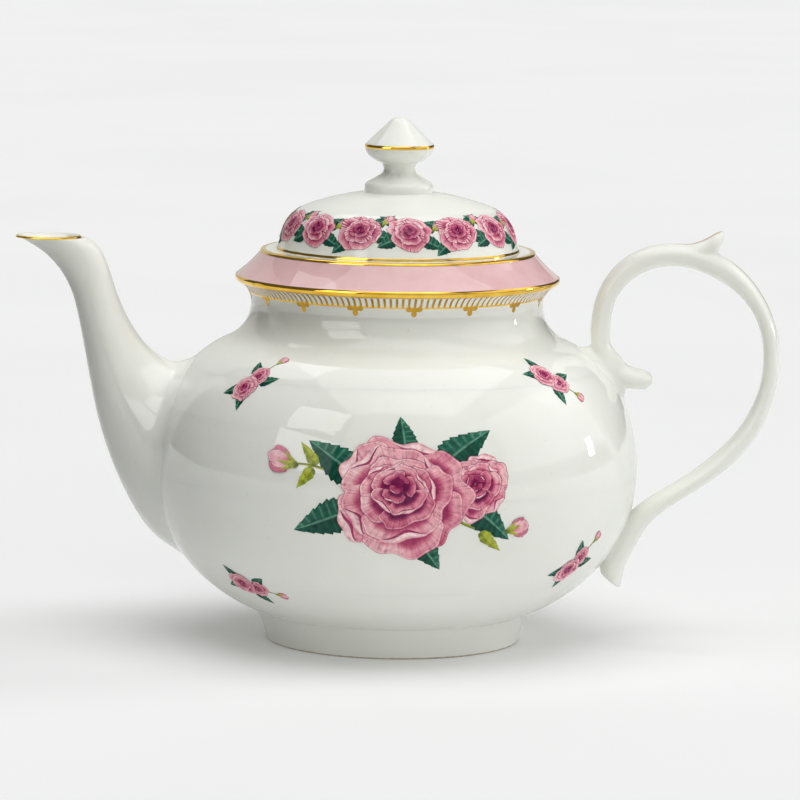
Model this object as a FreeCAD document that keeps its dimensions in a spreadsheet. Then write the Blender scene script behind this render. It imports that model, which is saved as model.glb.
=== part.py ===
"""A china teapot for six cups: a round pot on a foot ring, a collar, a spout, a loop handle and a
lift-off lid, in millimetres.

The origin is the middle of the foot on the table. +Z is up, the spout points to -X and the handle
to +X. Heights are measured from the table or, where a name says rise or drop, from the piece below.
"""
import FreeCAD
import Part
import math
import os
import re
import Sketcher

# Driving sizes
SIZES = {
    # Foot ring
    "foot_outer": 42.7,         # outer radius on the table
    "foot_flare": 3.1,          # how much wider it is at its top
    "foot_height": 10.0,
    "foot_width": 5.5,          # of the flat that stands on the table, with its rounded edges
    "foot_curve": 32.0,         # radius of the hollow side
    "foot_edge": 0.8,           # radius of its lower edges
    # Pot
    "wall": 3.2,
    "base_height": 6.4,         # underside of the pot, inside the foot ring
    "belly_radius": 81.2,
    "belly_height": 57.5,       # height of the widest part
    "haunch_drop": 27.5,        # where the flatter bottom curve starts, below the widest part
    "lower_curve": 46.0,        # radius of the side below the widest part
    "upper_curve": 62.0,        # radius of the side above it
    "shoulder_rise": 22.5,      # where the rounder shoulder starts, above the widest part
    "shoulder_curve": 38.0,
    "base_drop": 31.5,          # where the base becomes the side, below the widest part
    "side_rise": 35.0,          # where the side becomes the shoulder, above the widest part
    "neck_radius": 48.7,
    "neck_rise": 33.4,          # top of the neck, above the shoulder's start
    # Collar
    "edge_radius": 53.4,        # corners of the flange; its rounded edge stands out further
    "edge_rise": 7.0,           # lower corner of the flange, above the neck
    "edge_height": 2.5,
    "edge_curve": 1.4,
    "hollow_curve": 7.6,        # hollow under the flange
    "slope_curve": 40.0,        # faint hollow of the sloped face
    "rim_radius": 45.0,
    "rim_round": 1.0,
    "collar_height": 17.6,      # ledge for the lid, above the neck
    "mouth_radius": 37.2,
    "mouth_depth": 4.0,         # of the straight bore
    "collar_skirt": 5.0,        # straight wall inside, above the neck
    # Strainer
    "strainer_radius": 13.0,
    "strainer_rise": 3.5,       # its middle, above the widest part
    "strainer_hole": 2.2,       # radius of a hole
    "strainer_pitch": 8.0,      # from the middle hole to the ring of holes
    # Lid
    "lid_radius": 40.7,
    "lid_side": 6.0,            # height of the steep side
    "lid_lean": 1.9,            # how far that side leans in
    "lid_height": 20.0,         # crown of the dome, above the ledge
    "lid_crown_curve": 90.0,
    "lid_wall": 3.4,
    "lid_pocket": 5.0,          # straight wall of the hollow
    "vent_radius": 1.8,
    "vent_offset": 20.0,
    "flange_clearance": 1.0,    # between the lid's flange and the mouth
    "flange_wall": 2.8,
    "flange_depth": 9.0,
    "flange_chamfer": 1.0,
    # Knob
    "knob_root": 3.0,           # how far it starts below the crown of the dome, before trimming
    "knob_base": 11.5,
    "knob_foot": 0.7,           # upright edge of its base, above the crown
    "knob_shelf": 1.6,          # rounding of that edge, inwards
    "shelf_rise": 2.2,          # and upwards
    "knob_waist": 5.2,
    "waist_rise": 7.05,
    "waist_curve": 2.4,         # radius of the hollow at the waist
    "knob_bowl": 7.0,           # radius of the round underside
    "knob_radius": 11.4,
    "knob_lip": 0.3,            # how far the band leans in
    "knob_under": 13.6,         # lower edge of the band, above the crown
    "knob_band": 1.9,
    "knob_height": 24.2,
    "knob_tip": 5.0,
    # Handle
    "handle_limb": 13.1,        # middle of the upper limb, inside the belly's radius
    "handle_crown": 10.0,       # top of the loop, outside the belly's radius
    "handle_reach": 44.2,       # outermost part of the loop, outside the belly's radius
    "handle_top": 73.1,         # top of the loop, above the widest part
    "handle_drop": 46.0,        # radius of the lower right bend
    "handle_limb_thick": 6.7,
    "handle_top_thick": 7.6,
    "handle_side_thick": 5.6,
    "handle_low_thick": 6.6,
    "handle_width": 11.0,
    "scroll_curve": 14.4,
    "scroll_rise": 45.5,        # middle of the scroll's bend, above the widest part
    "scroll_tip": 3.2,          # how far the scroll's end runs on past its bend
    "scroll_tip_thick": 2.4,
    "scroll_tip_wide": 6.0,
    "scroll_end_thick": 5.6,
    "scroll_end_wide": 9.6,
    "root_inset": 12.7,         # middle of the upper root, inside the belly's radius
    "root_rise": 33.0,          # and above the widest part
    "root_face": 41.0,          # direction that the shoulder faces there, in degrees
    # Spout
    "spout_wall": 2.6,
    "lip_wall": 1.5,
}

# Spout stations from the root to the lip: the middle of each oval section, out from the belly's
# radius and up from its widest part, its tilt, its depth, and how much narrower it is across.
SPOUT = {
    "root": (-23.0, 2.5, -90.0, 60.0, 8.0),
    "flare": (-10.1, 3.2, -88.0, 63.6, 10.0),
    "haunch": (-3.5, 6.2, -82.6, 57.4, 12.0),
    "swell": (2.6, 12.3, -78.8, 49.4, 13.2),
    "shaft": (13.2, 32.5, -70.3, 32.4, 8.0),
    "neck": (19.6, 55.9, -55.7, 18.6, 2.6),
    "throat": (22.9, 65.7, -36.9, 15.0, 1.6),
    "spread": (27.8, 72.1, -15.0, 16.4, 1.6),
    "lip": (35.3, 76.6, 0.0, 22.0, 3.2),
}
# Tail of the handle down the belly: the middle of each section, its outward direction, depth and
# width
TAIL = {
    "heel": (10.8, -8.3, -54.0, 6.2, 11.0),
    "bend": (2.2, -14.8, -43.0, 7.2, 11.4),
    "strap": (-3.7, -23.6, -30.0, 8.0, 12.0),
    "flick": (-7.4, -31.2, -24.0, 8.6, 12.6),
    "end": (-8.2, -37.0, -37.0, 8.6, 12.6),
}
# Thumb spur on top of the loop: the middle of each upright section, its depth and width
SPUR = {
    "foot": (10.8, 72.9, 7.0, 9.4),
    "rise": (16.8, 73.7, 6.6, 9.2),
    "crest": (21.8, 75.3, 7.2, 8.8),
    "curl": (25.3, 77.6, 6.6, 7.8),
    "tip": (27.3, 80.0, 2.4, 3.4),
}
# Upper root of the handle: distance out from the shoulder, length along it, and width
ROOT = {
    "seat": (-8.0, 22.0, 14.0),
    "middle": (3.0, 19.0, 12.6),
    "crest": (8.5, 10.0, 8.6),
}
STATION_SIZES = {
    "spout": (SPOUT, ("out", "up", "tilt", "deep", "narrow")),
    "tail": (TAIL, ("out", "up", "face", "deep", "wide")),
    "spur": (SPUR, ("out", "up", "deep", "wide")),
    "root": (ROOT, ("out", "deep", "wide")),
}
for group, (stations, words) in STATION_SIZES.items():
    for station, numbers in stations.items():
        for word, number in zip(words, numbers):
            SIZES[f"{group}_{station}_{word}"] = number

OVAL_POINTS = 32                # points of each oval section of the spout and the handle

# Heights that several pieces share
HAUNCH = "belly_height - haunch_drop"
SHOULDER = "belly_height + shoulder_rise"
NECK = SHOULDER + " + neck_rise"
BASE_TOP = "belly_height - base_drop"
SIDE_TOP = "belly_height + side_rise"
LEDGE = NECK + " + collar_height"
CROWN = LEDGE + " + lid_height"

doc = FreeCAD.newDocument("teapot")
sheet = doc.addObject("Spreadsheet::Sheet", "sizes")
for row, (name, number) in enumerate(SIZES.items(), start=1):
    sheet.set(f"A{row}", name)
    sheet.set(f"B{row}", str(number))
    sheet.setAlias(f"B{row}", name)
doc.recompute()


def in_sheet(text):
    """An expression with each size named as the sheet's cell."""
    return re.sub(r"[a-z]\w*", lambda word: "sizes." * (word[0] in SIZES) + word[0], text)


def value(text):
    """The number that a sum of sizes has now, for the first draft of a sketch."""
    total = 0.0
    sign = 1.0
    for word in text.strip("~ ").split():
        if word in ("+", "-"):
            sign = 1.0 if word == "+" else -1.0
        else:
            total += sign * (SIZES[word] if word in SIZES else float(word))
    return total


def bind(thing, **expressions):
    """Bind properties to formulas of sizes; a double underscore stands for a dot."""
    for path, text in expressions.items():
        thing.setExpression(path.replace("__", "."), in_sheet(text))


def new_sketch(body, name, role):
    sketch = body.newObject("Sketcher::SketchObject", name)
    plane = next(item for item in body.Origin.OriginFeatures if item.Role == role)
    sketch.AttachmentSupport = (plane, [""])
    sketch.MapMode = "FlatFace"
    return sketch


def hold(sketch, label, text, *constraint):
    """Add a constraint whose number is a formula of sizes."""
    spot = sketch.addConstraint(Sketcher.Constraint(*constraint, value(text)))
    sketch.renameConstraint(spot, label)
    sketch.setExpression("Constraints." + label, in_sheet(text))


def place(sketch, label, across, up, *point):
    """Hold a point of a sketch at two sums of sizes; one that starts with ~ stays free."""
    for kind, text, axis in (("DistanceX", across, -2), ("DistanceY", up, -1)):
        if text == "0":
            sketch.addConstraint(Sketcher.Constraint("PointOnObject", *point, axis))
        elif not text.startswith("~"):
            hold(sketch, f"{label}_{kind}", text, kind, -1, 1, *point)


def arc_between(start, end, radius, turn):
    """An arc of less than half a circle; turn is 1 to the left and -1 to the right."""
    chord = end - start
    reach = math.sqrt(max(radius ** 2 - chord.Length ** 2 / 4, 0.0))
    left = FreeCAD.Vector(-chord.y, chord.x, 0) / chord.Length
    centre = (start + end) / 2 + left * (reach * turn)
    first, last = (start, end) if turn > 0 else (end, start)
    angles = [math.atan2(point.y - centre.y, point.x - centre.x) for point in (first, last)]
    circle = Part.Circle(centre, FreeCAD.Vector(0, 0, 1), (start - centre).Length)
    return Part.ArcOfCircle(circle, angles[0], angles[1])


def outline(body, name, corners, arcs=None, smooth=(), centres=None):
    """A closed profile in the XZ plane, drawn counter-clockwise.

    A corner is two sums of sizes. A sum that starts with ~ is only a first guess, which the
    tangents settle. arcs gives radius and turn by the corner where an arc starts, smooth the
    corners that are tangent, and centres the sums that hold an arc's centre.
    """
    arcs = arcs or {}
    sketch = new_sketch(body, name, "XZ_Plane")
    points = [FreeCAD.Vector(value(across), value(up), 0) for across, up in corners]
    count = len(points)
    ends = []
    for index, start in enumerate(points):
        end = points[(index + 1) % count]
        radius, turn = arcs.get(index, ("0", 1))
        if index in arcs:
            shortest = (end - start).Length * 0.51
            sketch.addGeometry(arc_between(start, end, max(value(radius), shortest), turn))
        else:
            sketch.addGeometry(Part.LineSegment(start, end))
        ends.append((1, 2) if turn > 0 else (2, 1))
    for index, (across, up) in enumerate(corners):
        before = (index - 1) % count
        joint = "Tangent" if index in smooth else "Coincident"
        sketch.addConstraint(
            Sketcher.Constraint(joint, before, ends[before][1], index, ends[index][0]))
        place(sketch, f"corner_{index}", across, up, index, ends[index][0])
    for index, (radius, turn) in arcs.items():
        if not radius.startswith("~"):
            hold(sketch, f"radius_{index}", radius, "Radius", index)
    for index, (across, up) in (centres or {}).items():
        place(sketch, f"centre_{index}", across, up, index, 3)
    return sketch


def turned(name, **profile):
    """A body turned about the Z axis from one profile."""
    body = doc.addObject("PartDesign::Body", name)
    turn_profile(body, "PartDesign::Revolution", name + "_turned", **profile)
    return body


def turn_profile(body, kind, name, **profile):
    """Add a turned feature, which adds or cuts, to a body."""
    sketch = outline(body, name + "_profile", **profile)
    feature = body.newObject(kind, name)
    feature.Profile = sketch
    feature.ReferenceAxis = (sketch, ["V_Axis"])
    feature.Angle = 360
    doc.recompute()
    return feature


def size(name):
    """A size as the sheet holds it."""
    return float(sheet.get(name))


def oval(across, up, tilt, deep, wide):
    """An oval wire that stands across the XZ plane, deep in that plane and wide in Y.

    The tilt turns it about Y, from lying flat with its depth along +X. Every section starts at the
    same side and is spaced alike, so that a loft through them has no twist.
    """
    step = 2 * math.pi / OVAL_POINTS
    points = [FreeCAD.Vector(deep / 2 * math.cos(step * turn), wide / 2 * math.sin(step * turn), 0)
              for turn in range(OVAL_POINTS)]
    sideways = FreeCAD.Vector(0, wide / 2 * step, 0)
    curve = Part.BSplineCurve()
    curve.interpolate(Points=points + points[:1], Parameters=list(range(OVAL_POINTS + 1)),
                      InitialTangent=sideways, FinalTangent=sideways)
    wire = Part.Wire([curve.toShape()])
    turn = FreeCAD.Rotation(FreeCAD.Vector(0, 1, 0), tilt)
    wire.Placement = FreeCAD.Placement(FreeCAD.Vector(across, 0, up), turn)
    return wire


def loft(name, sections):
    """A smooth solid through oval sections of changing tilt, which no single sketch can hold."""
    piece = doc.addObject("Part::Feature", name)
    piece.Shape = Part.makeLoft(sections, True, False)
    return piece


def cut(name, base, tool):
    """One piece with another's form taken away, so that the two seat on the same surface."""
    piece = doc.addObject("Part::Cut", name)
    piece.Base = base
    piece.Tool = tool
    return piece


def bore(name, radius, height, across, deep, up, axis_turn):
    """A cylinder that cuts a hole, upright or turned about Y to lie along +X."""
    tool = doc.addObject("Part::Cylinder", name)
    turn = FreeCAD.Rotation(FreeCAD.Vector(0, 1, 0), axis_turn)
    tool.Placement = FreeCAD.Placement(FreeCAD.Vector(), turn)
    bind(tool, Radius=radius, Height=height, Placement__Base__x=across,
         Placement__Base__y=deep, Placement__Base__z=up)
    return tool


# Pot: the outer form, and the same form hollowed to its wall
def pot_profile(inset, base):
    """The pot's outline, drawn in by an inset, above its base."""
    return {
        "corners": [
            ("0", base),
            ("~ foot_outer - foot_height - wall", base),
            ("~ belly_radius - foot_height" + inset, HAUNCH),
            ("belly_radius" + inset, "belly_height"),
            ("~ belly_radius - wall" + inset, SHOULDER),
            ("~ neck_radius + foot_height" + inset, "~ " + NECK + " - foot_height - wall"),
            ("neck_radius" + inset, NECK),
            ("0", NECK),
        ],
        "arcs": {
            1: ("~ upper_curve" + inset, 1),
            2: ("lower_curve" + inset, 1),
            3: ("upper_curve" + inset, 1),
            4: ("shoulder_curve" + inset, 1),
            5: ("~ foot_height + wall", -1),
        },
        "smooth": (1, 2, 3, 4, 5),
        "centres": {2: ("~", "belly_height"), 5: ("~", NECK)},
    }


pot_form = turned("pot_form", **pot_profile("", "base_height"))
pot_shell = turned("pot_shell", **pot_profile("", "base_height"))
turn_profile(pot_shell, "PartDesign::Groove", "pot_hollow",
             **pot_profile(" - wall", "base_height + wall"))

# Foot ring, trimmed to the underside of the pot
foot_blank = turned(
    "foot_blank",
    corners=[
        ("foot_outer - foot_width + foot_edge", "0"),
        ("foot_outer - foot_edge", "0"),
        ("foot_outer", "foot_edge"),
        ("foot_outer + foot_flare", "foot_height"),
        ("foot_outer + foot_flare", "foot_height + wall + wall"),
        ("foot_outer - foot_width + foot_flare", "foot_height + wall + wall"),
        ("foot_outer - foot_width", "foot_edge"),
    ],
    arcs={1: ("foot_edge", 1), 2: ("foot_curve", -1), 6: ("foot_edge", 1)},
)
foot_ring = cut("foot_ring", foot_blank, pot_form)

# Collar, from the neck to the ledge that carries the lid
collar = turned(
    "collar",
    corners=[
        ("neck_radius - wall", NECK),
        ("neck_radius", NECK),
        ("edge_radius", NECK + " + edge_rise"),
        ("edge_radius", NECK + " + edge_rise + edge_height"),
        ("rim_radius + rim_round", LEDGE + " - rim_round"),
        ("rim_radius", LEDGE),
        ("mouth_radius", LEDGE),
        ("mouth_radius", LEDGE + " - mouth_depth"),
        ("neck_radius - wall", NECK + " + collar_skirt"),
    ],
    arcs={
        1: ("hollow_curve", -1),
        2: ("edge_curve", 1),
        3: ("slope_curve", -1),
        4: ("rim_round", 1),
    },
)

# Strainer: the piece of the wall behind the spout, pierced by a middle hole and a ring of six
STRAINER_UP = "belly_height + strainer_rise"
plug = bore("strainer_plug", "strainer_radius", "belly_radius / 2",
            "-belly_radius - wall", "0", STRAINER_UP, 90)
holes = [bore("strainer_hole_middle", "strainer_hole", "belly_radius / 2",
              "-belly_radius - wall", "0", STRAINER_UP, 90)]
for index in range(6):
    angle = 60 * index
    holes.append(bore(f"strainer_hole_{index}", "strainer_hole", "belly_radius / 2",
                      "-belly_radius - wall", f"strainer_pitch * cos({angle})",
                      f"{STRAINER_UP} + strainer_pitch * sin({angle})", 90))
pierced = doc.addObject("Part::MultiFuse", "strainer_holes")
pierced.Shapes = holes
pad = doc.addObject("Part::Common", "strainer_pad")
pad.Base = pot_shell
pad.Tool = plug
spout_strainer = cut("spout_strainer", pad, pierced)
pot_wall = cut("pot_wall", pot_shell, plug)


def band(name, low, high):
    """The part of the pot's wall between two heights."""
    slab = bore(name + "_slab", "belly_radius + wall", f"{high} - ({low})", "0", "0", low, 0)
    piece = doc.addObject("Part::Common", name)
    piece.Base = pot_wall
    piece.Tool = slab
    return piece


pot_base = band("pot_base", "0", BASE_TOP)
pot_lower_side = band("pot_lower_side", BASE_TOP, "belly_height")
pot_upper_side = band("pot_upper_side", "belly_height", SIDE_TOP)
pot_shoulder = band("pot_shoulder", SIDE_TOP, NECK)

# Spout: a loft through the stations, hollowed by a second loft inside it
belly_out = size("belly_radius")
belly_up = size("belly_height")


def spout_loft(name, wall, lip_wall):
    sections = []
    for station in SPOUT:
        out, up, tilt, deep, narrow = (
            size(f"spout_{station}_{word}") for word in STATION_SIZES["spout"][1])
        inset = 2 * (lip_wall if station == "lip" else wall)
        sections.append(
            oval(-belly_out - out, belly_up + up, tilt, deep - inset, deep - narrow - inset))
    return loft(name, sections)


spout_inside = doc.addObject("Part::MultiFuse", "spout_inside")
spout_inside.Shapes = [pot_form, spout_loft("spout_channel", size("spout_wall"), size("lip_wall"))]
spout = cut("spout", spout_loft("spout_outside", 0.0, 0.0), spout_inside)

# Handle: one loft from the scroll over the loop to the tail, with the spur and the upper root
limb_out = belly_out - size("handle_limb")
crown_out = belly_out + size("handle_crown")
reach_out = belly_out + size("handle_reach")
top_up = belly_up + size("handle_top")
left_bend = crown_out - limb_out
right_bend = reach_out - crown_out
drop_bend = size("handle_drop")
scroll_bend = size("scroll_curve")
scroll_out = limb_out + scroll_bend
scroll_up = belly_up + size("scroll_rise")

# Each bend of the loop: its centre and radius, and the thickness at some of its angles
LOOP_BENDS = [
    (scroll_out, scroll_up, scroll_bend,
     {270: "handle_limb_thick", 236: "handle_limb_thick", 205: "handle_limb_thick"}),
    (crown_out, top_up - left_bend, left_bend,
     {180: "handle_limb_thick", 150: "handle_limb_thick", 120: "handle_top_thick",
      90: "handle_top_thick"}),
    (crown_out, top_up - right_bend, right_bend,
     {60: "handle_top_thick", 30: "handle_side_thick", 0: "handle_side_thick"}),
    (reach_out - drop_bend, top_up - right_bend, drop_bend,
     {-18: "handle_side_thick", -36: "handle_low_thick", -52: "handle_low_thick"}),
]
sections = []
for beyond, station in ((1.0, "tip"), (0.5, "end")):
    sections.append(oval(scroll_out + beyond * size("scroll_tip"), scroll_up - scroll_bend, -270,
                         size(f"scroll_{station}_thick"), size(f"scroll_{station}_wide")))
for across, up, radius, stations in LOOP_BENDS:
    for angle, thick in stations.items():
        turn = math.radians(angle)
        sections.append(oval(across + radius * math.cos(turn), up + radius * math.sin(turn), -angle,
                             size(thick), size("handle_width")))
for station in TAIL:
    out, up, face, deep, wide = (
        size(f"tail_{station}_{word}") for word in STATION_SIZES["tail"][1])
    sections.append(oval(belly_out + out, belly_up + up, -face, deep, wide))
handle_loop = loft("handle_loop", sections)

sections = []
for station in SPUR:
    out, up, deep, wide = (size(f"spur_{station}_{word}") for word in STATION_SIZES["spur"][1])
    sections.append(oval(belly_out + out, belly_up + up, -90, deep, wide))
handle_spur = loft("handle_spur", sections)

root_face = math.radians(size("root_face"))
sections = []
for station in ROOT:
    out, deep, wide = (size(f"root_{station}_{word}") for word in STATION_SIZES["root"][1])
    sections.append(oval(belly_out - size("root_inset") + out * math.cos(root_face),
                         belly_up + size("root_rise") + out * math.sin(root_face),
                         90 - size("root_face"), deep, wide))
handle_root = loft("handle_root", sections)

handle_blank = doc.addObject("Part::MultiFuse", "handle_blank")
handle_blank.Shapes = [handle_loop, handle_spur, handle_root]
handle = cut("handle", handle_blank, pot_form)

# Lid: the outer form of the dome, and the same form with its hollow and steam hole
LID_PROFILE = {
    "corners": [
        ("0", LEDGE),
        ("lid_radius", LEDGE),
        ("lid_radius - lid_lean", LEDGE + " + lid_side"),
        ("~ lid_radius - lid_pocket - lid_pocket", "~ " + CROWN + " - lid_side"),
        ("0", CROWN),
    ],
    "arcs": {2: ("~ strainer_radius", 1), 3: ("lid_crown_curve", 1)},
    "smooth": (2, 3),
    "centres": {3: ("0", "~")},
}
FLANGE_OUTER = "mouth_radius - flange_clearance"
FLANGE_INNER = FLANGE_OUTER + " - flange_wall"
lid_form = turned("lid_form", **LID_PROFILE)
lid_shell = turned("lid_shell", **LID_PROFILE)
turn_profile(
    lid_shell, "PartDesign::Groove", "lid_hollow",
    corners=[
        ("0", LEDGE),
        (FLANGE_INNER, LEDGE),
        (FLANGE_INNER, LEDGE + " + lid_pocket"),
        ("0", CROWN + " - lid_wall"),
    ],
    arcs={2: ("~ shoulder_curve + shoulder_rise", 1)},
    centres={2: ("0", "~")},
)
vent = bore("lid_vent", "vent_radius", "lid_height + lid_wall", "0", "vent_offset", LEDGE, 0)
lid_dome = cut("lid_dome", lid_shell, vent)
lid_flange = turned(
    "lid_flange",
    corners=[
        (FLANGE_INNER, LEDGE + " - flange_depth"),
        (FLANGE_OUTER + " - flange_chamfer", LEDGE + " - flange_depth"),
        (FLANGE_OUTER, LEDGE + " - flange_depth + flange_chamfer"),
        (FLANGE_OUTER, LEDGE),
        (FLANGE_INNER, LEDGE),
    ],
)

# Knob, trimmed to the crown of the dome
BAND = CROWN + " + knob_under"
knob_blank = turned(
    "knob_blank",
    corners=[
        ("0", CROWN + " - knob_root"),
        ("knob_base", CROWN + " - knob_root"),
        ("knob_base", CROWN + " + knob_foot"),
        ("knob_base - knob_shelf", CROWN + " + knob_foot + shelf_rise"),
        ("~ knob_waist + knob_shelf", "~ " + CROWN + " + waist_rise - waist_curve"),
        ("~ knob_waist + knob_shelf", "~ " + CROWN + " + waist_rise + waist_curve"),
        ("knob_radius", BAND),
        ("knob_radius - knob_lip", BAND + " + knob_band"),
        ("~ knob_tip - knob_shelf", "~ " + CROWN + " + knob_height - knob_shelf"),
        ("0", CROWN + " + knob_height"),
    ],
    arcs={
        2: ("~ shelf_rise", 1),
        4: ("waist_curve", -1),
        5: ("knob_bowl", 1),
        6: ("knob_band", 1),
        8: ("knob_tip", 1),
    },
    smooth=(2, 4, 5, 8),
    centres={4: ("knob_waist + waist_curve", CROWN + " + waist_rise"), 8: ("0", "~")},
)
lid_knob = cut("lid_knob", knob_blank, lid_form)

# Check the document, then write one file for each piece
doc.recompute()
failed = [item.Name for item in doc.Objects if {"Invalid", "Error"} & set(item.State)]
if failed:
    raise RuntimeError("failed objects: " + ", ".join(failed))
PIECES = [pot_base, pot_lower_side, pot_upper_side, pot_shoulder, foot_ring, collar,
          spout_strainer, spout, handle, lid_dome, lid_flange, lid_knob]
for piece in PIECES:
    shape = piece.Shape
    if shape.isNull() or not shape.isValid() or len(shape.Solids) != 1:
        raise RuntimeError(f"{piece.Label} is not one valid solid")
if pot_wall.Shape.Volume >= 0.5 * pot_form.Shape.Volume:
    raise RuntimeError("the pot is not hollow")
if lid_dome.Shape.Volume >= 0.8 * lid_form.Shape.Volume:
    raise RuntimeError("the lid is not hollow")
os.makedirs("parts", exist_ok=True)
for piece in PIECES:
    piece.Shape.exportStep(f"parts/{piece.Label}.step")
    box = piece.Shape.optimalBoundingBox()
    print(f"{piece.Label}: {piece.Shape.Volume:.0f} mm3, "
          f"X {box.XMin:.1f} to {box.XMax:.1f}, Y {box.YMin:.1f} to {box.YMax:.1f}, "
          f"Z {box.ZMin:.1f} to {box.ZMax:.1f}")
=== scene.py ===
"""Looks of a white china teapot with gilt lines, a pink collar and painted flower sprays.

Sizes are in millimetres unless they go to Blender, which has metres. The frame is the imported
model's: the spout points to -X, the handle to +X, and the photograph looks along +Y.
"""
import math
import random

import bpy
import numpy as np
from mathutils import Matrix, Vector
from mathutils.bvhtree import BVHTree


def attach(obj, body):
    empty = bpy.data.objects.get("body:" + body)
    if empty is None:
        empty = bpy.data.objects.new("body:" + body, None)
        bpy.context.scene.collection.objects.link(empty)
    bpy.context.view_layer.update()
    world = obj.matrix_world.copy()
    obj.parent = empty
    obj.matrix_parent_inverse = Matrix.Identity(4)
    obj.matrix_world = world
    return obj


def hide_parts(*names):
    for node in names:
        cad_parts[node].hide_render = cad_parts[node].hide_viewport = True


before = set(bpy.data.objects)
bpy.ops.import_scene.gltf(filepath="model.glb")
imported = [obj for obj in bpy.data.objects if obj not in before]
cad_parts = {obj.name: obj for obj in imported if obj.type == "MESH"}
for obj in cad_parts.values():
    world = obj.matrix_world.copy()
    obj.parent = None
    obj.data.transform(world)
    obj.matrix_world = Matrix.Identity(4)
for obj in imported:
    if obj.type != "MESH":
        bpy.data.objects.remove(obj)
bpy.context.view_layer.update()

MM = 0.001
chance = random.Random(11)


# Turned outlines

class Profile:
    """A turned outline of arcs and lines, addressed by the length along it."""

    STEP = 0.1

    def __init__(self, *start):
        self.points = [np.array(start, float)]

    def line(self, *end):
        start = self.points[-1]
        end = np.array(end, float)
        count = max(2, math.ceil(np.linalg.norm(end - start) / self.STEP))
        self.points += [start + (end - start) * step / count for step in range(1, count + 1)]
        return self

    def arc(self, end, centre):
        """The shorter way round the centre."""
        centre = np.array(centre, float)
        reach = [self.points[-1] - centre, np.array(end, float) - centre]
        turns = [math.atan2(arm[1], arm[0]) for arm in reach]
        sweep = (turns[1] - turns[0] + math.pi) % (2 * math.pi) - math.pi
        radii = [np.linalg.norm(arm) for arm in reach]
        count = max(2, math.ceil(abs(sweep) * radii[0] / self.STEP))
        for step in range(1, count + 1):
            share = step / count
            turn = turns[0] + sweep * share
            radius = radii[0] + (radii[1] - radii[0]) * share
            self.points.append(centre + radius * np.array([math.cos(turn), math.sin(turn)]))
        return self

    def done(self):
        self.points = np.array(self.points)
        steps = np.diff(self.points, axis=0)
        self.lengths = np.concatenate([[0.0], np.cumsum(np.hypot(steps[:, 0], steps[:, 1]))])
        along = np.gradient(self.points, axis=0)
        along /= np.hypot(along[:, 0], along[:, 1])[:, None]
        self.normals = np.stack([along[:, 1], -along[:, 0]], axis=1)
        return self

    def length_at(self, radius, height):
        """The length along the outline at its point nearest to a place."""
        gap = np.hypot(self.points[:, 0] - radius, self.points[:, 1] - height)
        return float(self.lengths[np.argmin(gap)])

    def at(self, length, values):
        return np.stack([np.interp(length, self.lengths, values[:, axis]) for axis in (0, 1)], -1)

    def place(self, turn, length, lift=0.0):
        """Points in metres. The turn is 0 towards the photograph's camera and grows to +X."""
        turn, length, lift = np.broadcast_arrays(turn, length, lift)
        spot = self.at(length, self.points) + self.at(length, self.normals) * lift[..., None]
        return np.stack([spot[..., 0] * np.sin(turn), -spot[..., 0] * np.cos(turn), spot[..., 1]],
                        -1) * MM

    def depth(self, points):
        """How far points in metres lie outside the outline, and the outline's normal there."""
        points = np.asarray(points) / MM
        flat = np.stack([np.hypot(points[:, 0], points[:, 1]), points[:, 2]], -1)
        nearest = np.concatenate([
            np.argmin(((part[:, None, :] - self.points[None]) ** 2).sum(-1), axis=1)
            for part in np.array_split(flat, max(1, len(flat) // 2000))])
        normal = self.normals[nearest]
        gap = ((flat - self.points[nearest]) * normal).sum(-1)
        around = points[:, :2] / np.maximum(flat[:, :1], 1e-6)
        return gap, np.concatenate([around * normal[:, :1], normal[:, 1:]], axis=1)


BELLY_RADIUS = 81.2
BELLY_HEIGHT = 57.5
POT = (
    Profile(45.8, 10.2)
    .arc((72.07, 30.0), (25.06, 65.05))
    .arc((BELLY_RADIUS, BELLY_HEIGHT), (35.2, 57.5))
    .arc((76.97, 80.0), (19.2, 57.5))
    .arc((56.79, 101.03), (41.56, 66.21))
    .arc((48.7, 113.4), (62.2, 113.4))
    .arc((53.4, 120.4), (56.3, 113.4))
    .arc((53.4, 122.9), (52.77, 121.65))
    .arc((46.0, 130.0), (77.16, 155.07))
    .arc((45.0, 131.0), (45.0, 130.0))
    .line(41.0, 131.0)
    .done()
)
LID = (
    Profile(40.7, 131.0)
    .line(38.8, 137.0)
    .arc((30.43, 145.70), (25.83, 132.89))
    .arc((11.0, 150.33), (0.0, 61.0))
    .done()
)


# Meshes

def linked(name, data):
    """A new object in the scene."""
    made = bpy.data.objects.new(name, data)
    bpy.context.scene.collection.objects.link(made)
    return made


def mesh_object(name, vertices, faces, body, *materials):
    """A smooth piece that rides on a body."""
    mesh = bpy.data.meshes.new(name)
    mesh.from_pydata(np.asarray(vertices).tolist(), [], [list(face) for face in faces])
    mesh.shade_smooth()
    for material in materials:
        mesh.materials.append(material)
    piece = linked(name, mesh)
    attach(piece, body)
    return piece


def grid_faces(rows, columns, closed=False, first=0):
    """Quads of a grid of points; a closed grid joins its last column to its first."""
    faces = []
    for row in range(rows - 1):
        for column in range(columns if closed else columns - 1):
            after = (column + 1) % columns
            start = first + row * columns
            faces.append((start + column, start + after,
                          start + columns + after, start + columns + column))
    return faces


def facing_out(points, faces):
    """The faces of a grid of points, turned over if they look at the pot's axis."""
    across = np.diff(points, axis=1)[:-1]
    along = np.diff(points, axis=0)[:, :-1]
    outside = np.sum(np.cross(across, along)[..., :2] * points[:-1, :-1, :2])
    return faces if outside > 0 else [face[::-1] for face in faces]


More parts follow.
